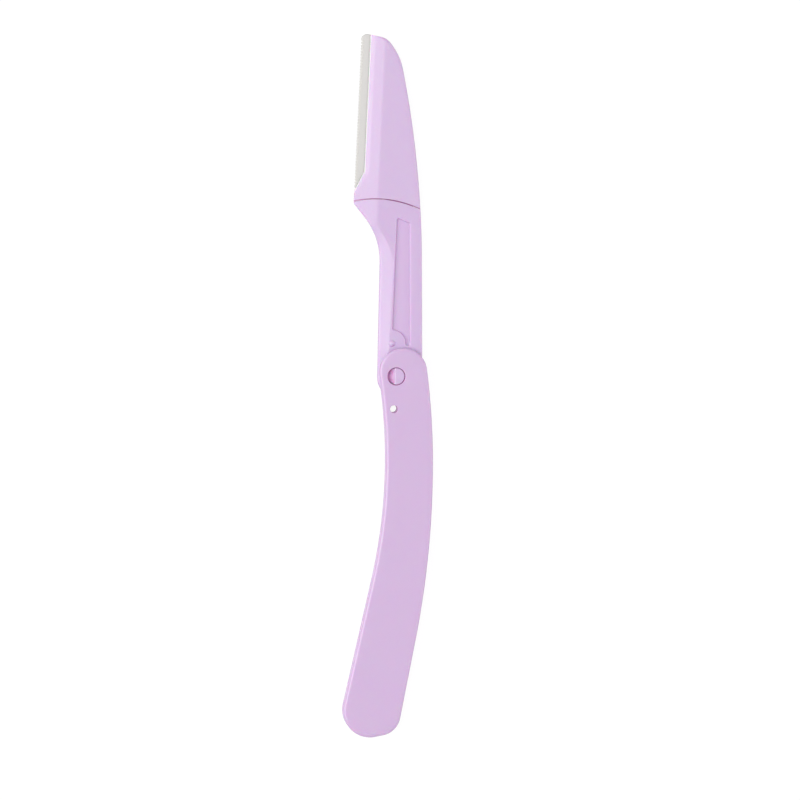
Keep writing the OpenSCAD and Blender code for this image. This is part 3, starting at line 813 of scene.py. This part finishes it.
def make_head():
    """The moulding that holds the blade, with its two bevels and the lip in front of them."""
    cover = TIP_COVER - FIT
    play = TANG_CLEARANCE
    steep_lines = [lip_at + LIP_EDGE * share for share in round_shares]
    steep_at = lip_at + STEEP_WIDTH
    steep_lines += [steep_at + offset for offset in crease_lines(steep_slope - gentle_slope)]
    blade_back = GUARD_SHEET + GUARD_CLEARANCE + BLADE_WIDTH
    post_rises = np.arange(blade_foot + POST_MARGIN, edge_end - POST_MARGIN, POST_PITCH)
    posts = [at_edge((GUARD_WIDTH + blade_back) / 2, rise) for rise in post_rises]
    seam_in = SEAM_R + SEAM_GAP
    seam_out = SEAM_R + GROOVE_WIDTH

    curves = [head_outline.ring(0, share) for share in round_shares]
    curves.append(head_outline.ring(cover))
    curves += edge_lines(steep_lines, (kink_at - PAST, EDGE_SPAN[1]))
    curves += edge_lines([*gentle_lines, GUARD_WIDTH + FIT, blade_back + FIT])
    kink_way = np.array([-kink_out[1], kink_out[0]])
    for depth in steep_lines:
        start = kink_point + kink_out * (lip_at - depth)
        curves.append(straight(start - kink_way * KINK_SPAN[0], start + kink_way * KINK_SPAN[1]))
    curves += [seam_arc(seam_in), seam_arc(seam_out)]
    curves += [seam_arc(seam_out + SEAM_STEP + SEAM_EDGE * share) for share in round_shares]
    curves.append(tang_line(play, TANG_END_GAP))
    foot = blade_foot - FIT
    curves.append(straight(at_edge(-PAST, foot), at_edge(blade_back + PAST, foot)))
    curves += [circle(post, POST_R - FIT) for post in posts]

    def region(places):
        behind = (edge_depth(places) > lip_at) | (kinked_depth(places) > lip_at)
        beyond = (distance(places, seam_centre) > seam_in) & (places[:, 1] > seam_centre[1])
        return (head_outline.depth(places) > 0) & behind & beyond

    def top(places):
        steep = LIP_HALF + steep_slope * (edge_depth(places) - lip_at)
        turned = LIP_HALF + steep_slope * (kinked_depth(places) - lip_at)
        surface = least(most(steep, turned), gentle_plane(places))
        surface = least(surface, ARM_HALF)
        edge = ARM_HALF - rounding(head_outline.depth(places), HEAD_EDGE, HEAD_EDGE_DROP)
        surface = least(surface, edge, CREASE / 2)
        to_lip = np.maximum(edge_depth(places), kinked_depth(places)) - lip_at
        surface = surface - rounding(to_lip, LIP_EDGE, LIP_EDGE_DROP)
        from_seam = distance(places, seam_centre) - seam_out - SEAM_STEP
        surface = surface - rounding(from_seam, SEAM_EDGE, SEAM_EDGE)
        return np.where(from_seam < -SEAM_STEP / 2, np.minimum(surface, GROOVE_HALF), surface)

    def in_strip(places, depth):
        wide = (edge_depth(places) < depth + FIT) & (edge_rise(places) > foot)
        return wide & (head_outline.depth(places) > cover)

    def for_blade(places):
        on_post = np.any([distance(places, post) < POST_R - FIT for post in posts], axis=0)
        return in_strip(places, blade_back) & ~on_post

    def for_guard(places):
        return in_strip(places, GUARD_WIDTH)

    def for_tang(places):
        return in_tang(places, play, TANG_END_GAP)

    def level(height):
        return lambda places: np.full(len(places), height)

    gaps = [
        (for_blade, level(BLADE_THICK / 2 + FIT)),
        (for_guard, level(GUARD_HALF + FIT)),
        (for_tang, level(TANG_THICK / 2 + play)),
    ]
    return moulding("head_moulding", curves, region, top, gaps)


class Wire:
    """A socket that sums can be written with: each sum adds its Math node."""

    def __init__(self, nodes, socket):
        self.nodes, self.socket = nodes, socket

    def maths(self, operation, *others):
        """What a Math node makes of this value, and of others that follow it."""
        return self.nodes.maths(operation, self, *others)

    def __add__(self, other):
        return self.maths("ADD", other)

    def __sub__(self, other):
        return self.maths("SUBTRACT", other)

    def __rsub__(self, other):
        return self.nodes.maths("SUBTRACT", other, self)

    def __mul__(self, other):
        return self.maths("MULTIPLY", other)

    def __truediv__(self, other):
        return self.maths("DIVIDE", other)

    __radd__, __rmul__ = __add__, __mul__

    def clamped(self):
        """The value, kept from 0 to 1."""
        return self.maths("MINIMUM", 1.0).maths("MAXIMUM", 0.0)


class Node:
    """A node, with its outputs as wires."""

    def __init__(self, nodes, made):
        self.nodes, self.made = nodes, made

    def out(self, name=0):
        return Wire(self.nodes, self.made.outputs[name])


class Nodes:
    """A node tree that nodes are added to by type, with their inputs and their settings."""

    def __init__(self, tree):
        self.tree = tree

    def add(self, kind, inputs=None, **settings):
        made = self.tree.nodes.new(kind)
        for key, value in settings.items():
            setattr(made, key, value)
        for key, value in (inputs or {}).items():
            if isinstance(value, Wire):
                self.tree.links.new(value.socket, made.inputs[key])
            else:
                made.inputs[key].default_value = value
        return Node(self, made)

    def maths(self, operation, *values):
        return self.add("ShaderNodeMath", dict(enumerate(values)), operation=operation).out()

    def mix(self, factor, first, second):
        """A colour between two colours, by the numbers of a Mix node's colour sockets."""
        inputs = {"Factor": factor, 6: first, 7: second}
        return self.add("ShaderNodeMix", inputs, data_type="RGBA").out(2)

    def noise(self, place, size, detail=2.0, rough=0.5):
        """Noise whose lumps are about this many millimetres across."""
        inputs = {"Vector": place, "Scale": 1 / (size * MM), "Detail": detail, "Roughness": rough}
        return self.add("ShaderNodeTexNoise", inputs).out("Fac")

    def bump(self, height, strength, depth):
        """A normal over a surface that rises by this many millimetres at most."""
        inputs = {"Strength": strength, "Distance": depth * MM, "Height": height}
        return self.add("ShaderNodeBump", inputs).out("Normal")


def half_round(depth, radius):
    """Half the thickness of a sheet's rounded fold, at a depth behind the outside of the fold."""
    level = radius**2 - np.maximum(radius - depth, 0) ** 2
    return np.sqrt(np.maximum(level, FOLD_RIM**2))


def guard_sheet(name, slit_first, slit_last):
    """The folded sheet without its teeth: it is open along the stretch that they close."""
    inner = GUARD_HALF - GUARD_SHEET
    curves = [head_outline.ring(GUARD_HALF * share) for share in round_shares]
    curves += [head_outline.ring(GUARD_SHEET + inner * share) for share in round_shares[:-1]]
    curves.append(head_outline.ring(TIP_COVER))
    curves += edge_lines([SLIT_DEPTH, lip_at, GUARD_WIDTH])
    for rise in (blade_foot, slit_first, slit_last):
        curves.append(straight(at_edge(-PAST, rise), at_edge(GUARD_WIDTH + PAST, rise)))

    def region(places):
        behind, rise, inset = edge_depth(places), edge_rise(places), head_outline.depth(places)
        sheet = (inset > 0) & (behind < GUARD_WIDTH) & (rise > blade_foot)
        bare = (behind < lip_at) | (inset > TIP_COVER)
        teeth = (behind < SLIT_DEPTH) & (rise > slit_first) & (rise < slit_last)
        return sheet & bare & ~teeth

    def top(places):
        return half_round(head_outline.depth(places), GUARD_HALF)

    def in_fold(places):
        return head_outline.depth(places) > GUARD_SHEET

    def fold_height(places):
        return half_round(head_outline.depth(places) - GUARD_SHEET, inner)

    return moulding(name, curves, region, top, [(in_fold, fold_height)])


def comb_tree():
    """Geometry nodes that bend one tooth from sheet and set it along the cutting edge."""
    tree = bpy.data.node_groups.new("comb_teeth", "GeometryNodeTree")
    for name, kind in (
        ("Sheet", "Geometry"), ("Finish", "Material"), ("Teeth", "Int"), ("First Tooth", "Vector"),
        ("Step", "Vector"), ("Turn", "Vector"), ("Tooth Width", "Float"), ("Tooth Depth", "Float"),
        ("Sheet Thickness", "Float"), ("Fold Radius", "Float"), ("Edge Radius", "Float"),
    ):
        tree.interface.new_socket(name=name, in_out="INPUT", socket_type="NodeSocket" + kind)
    tree.interface.new_socket(name="Comb", in_out="OUTPUT", socket_type="NodeSocketGeometry")
    nodes = Nodes(tree)
    given = nodes.add("NodeGroupInput")

    # The middle of the sheet, from one leg round the fold to the other
    last = FOLD_POINTS - 1
    index = nodes.add("GeometryNodeInputIndex").out()
    turn = ((index - 1) / (last - 2)).clamped() * pi + pi / 2
    on_leg = (index - last / 2).maths("ABSOLUTE").maths("GREATER_THAN", last / 2 - 0.5)
    middle_r = given.out("Fold Radius") - given.out("Sheet Thickness") / 2
    behind = given.out("Fold Radius") + middle_r * turn.maths("COSINE")
    behind = behind + on_leg * (given.out("Tooth Depth") - behind)
    height = middle_r * turn.maths("SINE")
    place = nodes.add("ShaderNodeCombineXYZ", {"X": behind, "Z": height}).out()
    line = nodes.add("GeometryNodeMeshLine", {"Count": FOLD_POINTS, "Offset": (0, 0, 0)}).out()
    fold = nodes.add("GeometryNodeSetPosition", {"Geometry": line, "Position": place}).out()
    path = nodes.add("GeometryNodeMeshToCurve", {"Mesh": fold}).out("Curve")

    section = nodes.add("GeometryNodeCurvePrimitiveQuadrilateral", {
        "Width": given.out("Tooth Width"), "Height": given.out("Sheet Thickness"),
    }, mode="RECTANGLE").out("Curve")
    section = nodes.add("GeometryNodeFilletCurve", {
        "Curve": section, "Count": 1, "Radius": given.out("Edge Radius"),
    }, mode="POLY").out("Curve")
    tooth = nodes.add("GeometryNodeCurveToMesh", {
        "Curve": path, "Profile Curve": section, "Fill Caps": True,
    }).out("Mesh")

    row = nodes.add("GeometryNodeMeshLine", {
        "Count": given.out("Teeth"),
        "Start Location": given.out("First Tooth"),
        "Offset": given.out("Step"),
    }).out()
    teeth = nodes.add("GeometryNodeInstanceOnPoints", {
        "Points": row, "Instance": tooth, "Rotation": given.out("Turn"),
    }).out("Instances")
    joined = nodes.add("GeometryNodeJoinGeometry")
    for geometry in (given.out("Sheet"), teeth):
        tree.links.new(geometry.socket, joined.made.inputs[0])
    real = nodes.add("GeometryNodeRealizeInstances", {"Geometry": joined.out()}).out()
    shown = nodes.add("GeometryNodeSetMaterial", {"Geometry": real, "Material": given.out("Finish")})
    nodes.add("NodeGroupOutput", {"Comb": shown.out()})
    return tree


def grown(piece, tree, values):
    """The plain mesh that a geometry node tree makes of a piece, given the values of its inputs."""
    modifier = piece.modifiers.new(tree.name, "NODES")
    modifier.node_group = tree
    for socket in tree.interface.items_tree:
        if socket.name in values:
            modifier[socket.identifier] = values[socket.name]
    seen = piece.evaluated_get(bpy.context.evaluated_depsgraph_get())
    mesh = bpy.data.meshes.new_from_object(seen)
    piece.modifiers.clear()
    return mesh


def make_guard(finish):
    """The comb over the cutting edge: a sheet folded round the blade, with evenly spaced teeth."""
    slit_first = blade_foot + TOOTH_PITCH
    teeth = int((edge_end - NOSE_R - slit_first) / TOOTH_PITCH)
    sheet = guard_sheet("guard_sheet", slit_first, slit_first + teeth * TOOTH_PITCH + SLIT_WIDTH)
    sheet.modifiers.clear()
    first = at_edge(0, slit_first + (TOOTH_PITCH + SLIT_WIDTH) / 2)
    mesh = grown(sheet, comb_tree(), {
        "Finish": finish,
        "Teeth": teeth,
        "First Tooth": PIVOT + Vector((*first, 0)) * MM,
        "Step": Vector((*edge_up, 0)) * TOOTH_PITCH * MM,
        "Turn": (0.0, 0.0, radians(-EDGE_LEAN)),
        "Tooth Width": (TOOTH_PITCH - SLIT_WIDTH) * MM,
        "Tooth Depth": (SLIT_DEPTH + TOOTH_LAP) * MM,
        "Sheet Thickness": GUARD_SHEET * MM,
        "Fold Radius": (GUARD_HALF - TOOTH_SINK) * MM,
        "Edge Radius": TOOTH_EDGE * MM,
    })
    bpy.data.objects.remove(sheet)
    return finished("comb_guard", mesh)


def linear(colour):
    """A colour given as it shows on a screen, from 0 to 255, as the shader's own values."""
    values = [channel / 255 for channel in colour]
    return (*(v / 12.92 if v <= 0.04045 else ((v + 0.055) / 1.055) ** 2.4 for v in values), 1.0)


def with_nodes(made):
    """A new material or world, with its node tree emptied."""
    made.use_nodes = True
    made.node_tree.nodes.clear()
    return made, Nodes(made.node_tree)


def show(nodes, surface):
    nodes.add("ShaderNodeOutputMaterial", {"Surface": surface})


def reach(nodes, place, direction):
    """Millimetres from the pivot to a place, along a direction in the plane."""
    inputs = {0: place, 1: (*direction, 0)}
    along = nodes.add("ShaderNodeVectorMath", inputs, operation="DOT_PRODUCT")
    return along.out("Value") / MM - float(np.dot(PIVOT[:2], direction)) / MM


def away(nodes, place, point):
    """Millimetres from a point of the plane, whatever the height."""
    inputs = {0: place, 1: (1, 1, 0)}
    flat = nodes.add("ShaderNodeVectorMath", inputs, operation="MULTIPLY").out()
    centre = (PIVOT.x + point[0] * MM, PIVOT.y + point[1] * MM, 0)
    gap = nodes.add("ShaderNodeVectorMath", {0: flat, 1: centre}, operation="DISTANCE")
    return gap.out("Value") / MM


def fade(value, full, none):
    """1 where a value is at full, falling evenly to 0 where it is at none."""
    return ((value - none) / (full - none)).clamped()


def hole_painted_shade(nodes, place):
    """Where shade is painted, deep pink, inside the bore and the detent hole of the handle."""
    bore, detent = (
        fade(away(nodes, place, centre), radius, radius + BORE_EDGE) for centre, radius in handle_holes
    )
    return bore.maths("MAXIMUM", detent)


def seam_painted_shade(nodes, place):
    """Where shade is painted dark pink on the two sides and the floor of the groove between the shank
    and the head.
    """
    half = GROOVE_WIDTH / 2
    aside = (away(nodes, place, seam_centre) - (SEAM_R + half)).maths("ABSOLUTE")
    lowest = SEAM_HEIGHT - SEAM_SHADE_DROP
    on_top = fade(reach(nodes, place, (0, 1)), lowest, lowest - SEAM_SHADE_FADE)
    return fade(aside, half, half + SEAM_EDGE) * on_top


def lip_highlight(nodes, place):
    """The thin edge of the lip in front of the bevels, where a pale highlight is painted."""
    behind = EDGE_REACH - reach(nodes, place, edge_out)
    turned = lip_at + float(kink_point @ kink_out) - reach(nodes, place, kink_out)
    edge_at = lip_at + LIP_EDGE
    return fade(behind.maths("MAXIMUM", turned), edge_at, edge_at + LIP_HIGHLIGHT_FADE)


def off_middle(nodes, place):
    """Millimetres from the middle plane to a place."""
    height = nodes.add("ShaderNodeSeparateXYZ", {0: place}).out("Z") / MM - PIVOT.z / MM
    return height.maths("ABSOLUTE")


def whole_recess(nodes, place):
    """The recess in the shank with its walls, below its rim, where a pinker shade colour is painted."""
    aside, along = reach(nodes, place, (1, 0)), reach(nodes, place, (0, 1))
    left, low = RECESS_LEFT - RECESS_SLANT, bump_place[1] - RECESS_RIGHT
    wide = fade(aside, left, left - CREASE) * fade(aside, RECESS_RIGHT, RECESS_RIGHT + CREASE)
    long = fade(along, low, low - CREASE) * fade(along, recess_top, recess_top + CREASE)
    low_enough = fade(off_middle(nodes, place), ARM_HALF - RECESS_LIP_R, ARM_HALF - CREASE)
    return wide * long * low_enough


def shaded_walls(nodes, place):
    """The walls of the recess where shade is painted: all but the one on the right, which faces the
    light.
    """
    floor_at = ARM_HALF - RECESS_DEPTH
    walls = fade(off_middle(nodes, place), floor_at + RECESS_FLOOR_R, floor_at + RECESS_WALL_FADE)
    lit_at = RECESS_RIGHT - RECESS_LIT_WALL
    shaded = fade(reach(nodes, place, (1, 0)), lit_at - RECESS_LIT_WALL, lit_at)
    return whole_recess(nodes, place) * shaded * walls


def ramp_painted_light(nodes, place):
    """The lead-in ramp of the pivot boss, painted paler to stand in for the light inside the bore."""
    on_boss = fade(away(nodes, place, (0, 0)), BOSS_R, BOSS_R + BORE_EDGE)
    return on_boss * fade(reach(nodes, place, (1, 0)), -RAMP_LIGHT_REACH, -RAMP_RIDGE)


def lilac_plastic(name, tint, marks):
    """Satin moulded plastic: faint flow clouds and a fine spark-eroded grain.

    Each mark is a place on the piece and the colour painted there as shade, light or a highlight.
    """
    made, nodes = with_nodes(bpy.data.materials.new(name))
    place = nodes.add("ShaderNodeTexCoord").out("Object")
    clouds = nodes.noise(place, CLOUD_SIZE, detail=3.0)
    mottle = nodes.noise(place, MOTTLE_SIZE, detail=3.0)
    grain = nodes.noise(place, GRAIN_SIZE)
    cloudy = [channel - CLOUD_DARK for channel in tint]
    mottled = [channel + MOTTLE_PALE for channel in tint]
    colour = nodes.mix(clouds, linear(tint), linear(cloudy))
    colour = nodes.mix(mottle * MOTTLE_SHARE, colour, linear(mottled))
    for where, mark in marks:
        colour = nodes.mix(where(nodes, place), colour, linear(mark))
    shader = nodes.add("ShaderNodeBsdfPrincipled", {
        "Base Color": colour,
        "Roughness": PLASTIC_ROUGH + mottle * MOTTLE_ROUGH + grain * GRAIN_ROUGH,
        "IOR": 1.5,
        "Specular IOR Level": 1.0,
        "Coat Weight": 0.8,
        "Coat Roughness": 0.24,
        "Subsurface Weight": 0.8,
        "Subsurface Radius": SKIN_SPREAD,
        "Subsurface Scale": SKIN_DEPTH * MM,
        "Normal": nodes.bump(grain, strength=0.12, depth=GRAIN_DEPTH),
    })
    show(nodes, shader.out("BSDF"))
    return made


def strip_steel(name, colour, rough, edge_colour, edge_wide):
    """Thin strip steel with fine rolling lines and faint blotches, greyer towards the cutting edge."""
    made, nodes = with_nodes(bpy.data.materials.new(name))
    place = nodes.add("ShaderNodeTexCoord").out("Object")
    turned = nodes.add("ShaderNodeMapping", {
        "Vector": place,
        "Rotation": (0.0, 0.0, radians(EDGE_LEAN)),
        "Scale": (1.0, ROLLED_STRETCH, 1.0),
    }).out("Vector")
    lines = nodes.noise(turned, ROLLED_SIZE, detail=3.0, rough=0.6)
    blotches = nodes.noise(place, BLOTCH_SIZE, detail=3.0, rough=0.6)
    darker = [channel - STEEL_DARK for channel in colour]
    paler = lines * ROLLED_SHARE + blotches * BLOTCH_SHARE
    shade = nodes.mix(paler, linear(darker), linear(colour))
    near_edge = fade(EDGE_REACH - reach(nodes, place, edge_out), edge_wide, edge_wide + FOLD_FADE)
    edge_grey = (near_edge * (EDGE_GREY_SHARE + blotches * EDGE_GREY_BLOTCH_SHARE)).maths("MINIMUM", 1.0)
    shader = nodes.add("ShaderNodeBsdfPrincipled", {
        "Base Color": nodes.mix(edge_grey, shade, linear(edge_colour)),
        "Metallic": 1.0,
        "Roughness": rough + lines * ROLLED_ROUGH,
        "Normal": nodes.bump(lines, strength=0.15, depth=ROLLED_DEPTH),
    })
    show(nodes, shader.out("BSDF"))
    return made


def seen_directly(nodes):
    """1 for what the camera sees, straight or in a reflection or through glass, and 0 for light."""
    path = nodes.add("ShaderNodeLightPath")
    seen = path.out("Is Camera Ray") + path.out("Is Glossy Ray") + path.out("Is Transmission Ray")
    return seen.maths("MINIMUM", 1.0)


def make_floor():
    """White table top that shows white and keeps a faint shadow."""
    mesh = bpy.data.meshes.new("floor")
    sides = ((-1, -1), (1, -1), (1, 1), (-1, 1))
    corners = [(x * TABLE_HALF, y * TABLE_HALF, -TABLE_DROP * MM) for x, y in sides]
    mesh.from_pydata(corners, [], [(0, 1, 2, 3)])
    made, nodes = with_nodes(bpy.data.materials.new("white_table"))
    card, shade = (
        nodes.add("ShaderNodeBsdfDiffuse", {"Color": (grey, grey, grey, 1.0)}).out()
        for grey in (TABLE_CARD, TABLE_SHADE)
    )
    glow = nodes.add("ShaderNodeEmission", {"Color": (1, 1, 1, 1), "Strength": TABLE_GLOW}).out()
    bright = nodes.add("ShaderNodeAddShader", {0: shade, 1: glow}).out()
    inputs = {0: seen_directly(nodes), 1: card, 2: bright}
    show(nodes, nodes.add("ShaderNodeMixShader", inputs).out())
    mesh.materials.append(made)
    put_in_scene("floor", mesh)


def make_world():
    """Even white light, with a white backdrop where it is seen."""
    bpy.context.scene.world, nodes = with_nodes(bpy.data.worlds.new("white_room"))
    level = ROOM_LIGHT + seen_directly(nodes) * (BACKDROP_LIGHT - ROOM_LIGHT)
    inputs = {"Color": (1, 1, 1, 1), "Strength": level}
    light = nodes.add("ShaderNodeBackground", inputs).out()
    nodes.add("ShaderNodeOutputWorld", {"Surface": light})


def make_softbox(name, size, place, brightness, colour):
    """A rectangular lamp that faces the middle of the razor."""
    light = bpy.data.lights.new(name, "AREA")
    light.shape = "RECTANGLE"
    light.size, light.size_y = size
    light.energy = brightness * pi * size[0] * size[1]
    light.color = colour
    lamp = put_in_scene(name, light)
    lamp.location = place
    lamp.rotation_euler = (-Vector(place)).to_track_quat("-Z", "Y").to_euler()


def make_camera():
    """A long lens nearly straight above, with the pivot at its place in the photograph."""
    camera = put_in_scene("camera", bpy.data.cameras.new("camera"))
    back = Vector(VIEW_FROM).normalized()
    right = Vector((0, 1, 0)).cross(back).normalized()
    up = back.cross(right)
    face = PIVOT + Vector((0, 0, HANDLE_HALF * MM))
    aside = (PICTURE_SIZE / 2 - PIVOT_PIXEL[0]) * PIXEL * MM
    below = (PIVOT_PIXEL[1] - PICTURE_SIZE / 2) * PIXEL * MM
    target = face + right * aside + up * below
    turn = Matrix((right, up, back)).transposed().to_4x4()
    camera.matrix_world = Matrix.Translation(target + back * VIEW_DISTANCE) @ turn
    camera.data.sensor_width = SENSOR
    camera.data.lens = SENSOR * VIEW_DISTANCE / (PICTURE_SIZE * PIXEL * MM)
    camera.data.clip_start, camera.data.clip_end = CLIP
    bpy.context.scene.camera = camera


def main():
    make_camera()
    make_floor()
    make_world()
    for softbox in SOFTBOXES:
        make_softbox(*softbox)

    # The marks paint shade into the holes, the seam and the recess, light onto the boss's ramp and a
    # highlight along the lip
    seam = (seam_painted_shade, SEAM_PAINTED_SHADE)
    for piece, node, body, tint, marks in (
        (make_handle(), "handle", "handle", HANDLE_TINT, [(hole_painted_shade, HOLE_PAINTED_SHADE)]),
        (make_shank(), "shank", "arm", SHANK_TINT, [
            seam,
            (ramp_painted_light, RAMP_PAINTED_LIGHT),
            (whole_recess, RECESS_PAINTED_SHADE),
            (shaded_walls, RECESS_WALL_PAINTED_SHADE),
        ]),
        (make_head(), "blade_head", "arm", HEAD_TINT, [seam, (lip_highlight, LIP_PAINTED_HIGHLIGHT)]),
    ):
        piece.data.materials.append(lilac_plastic(node + "_plastic", tint, marks))
        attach(piece, body)
        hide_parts(node)

    sheet = strip_steel("satin_thin_sheet", SHEET_TINT, SHEET_ROUGH, FOLD_TINT, FOLD_GREY)
    guard = make_guard(sheet)
    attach(guard, "arm")
    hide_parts("edge_guard")

    # The blade is painted greyer near its edge, as shade between the comb's teeth
    strip = strip_steel("ground_strip_steel", BLADE_TINT, BLADE_ROUGH, BLADE_EDGE_PAINTED_SHADE, BLADE_SHADE_WIDTH)
    slots = frame["nodes"]["blade"].data.materials
    slots.clear()
    slots.append(strip)


main()
bpy.context.scene.view_settings.view_transform = "Standard"
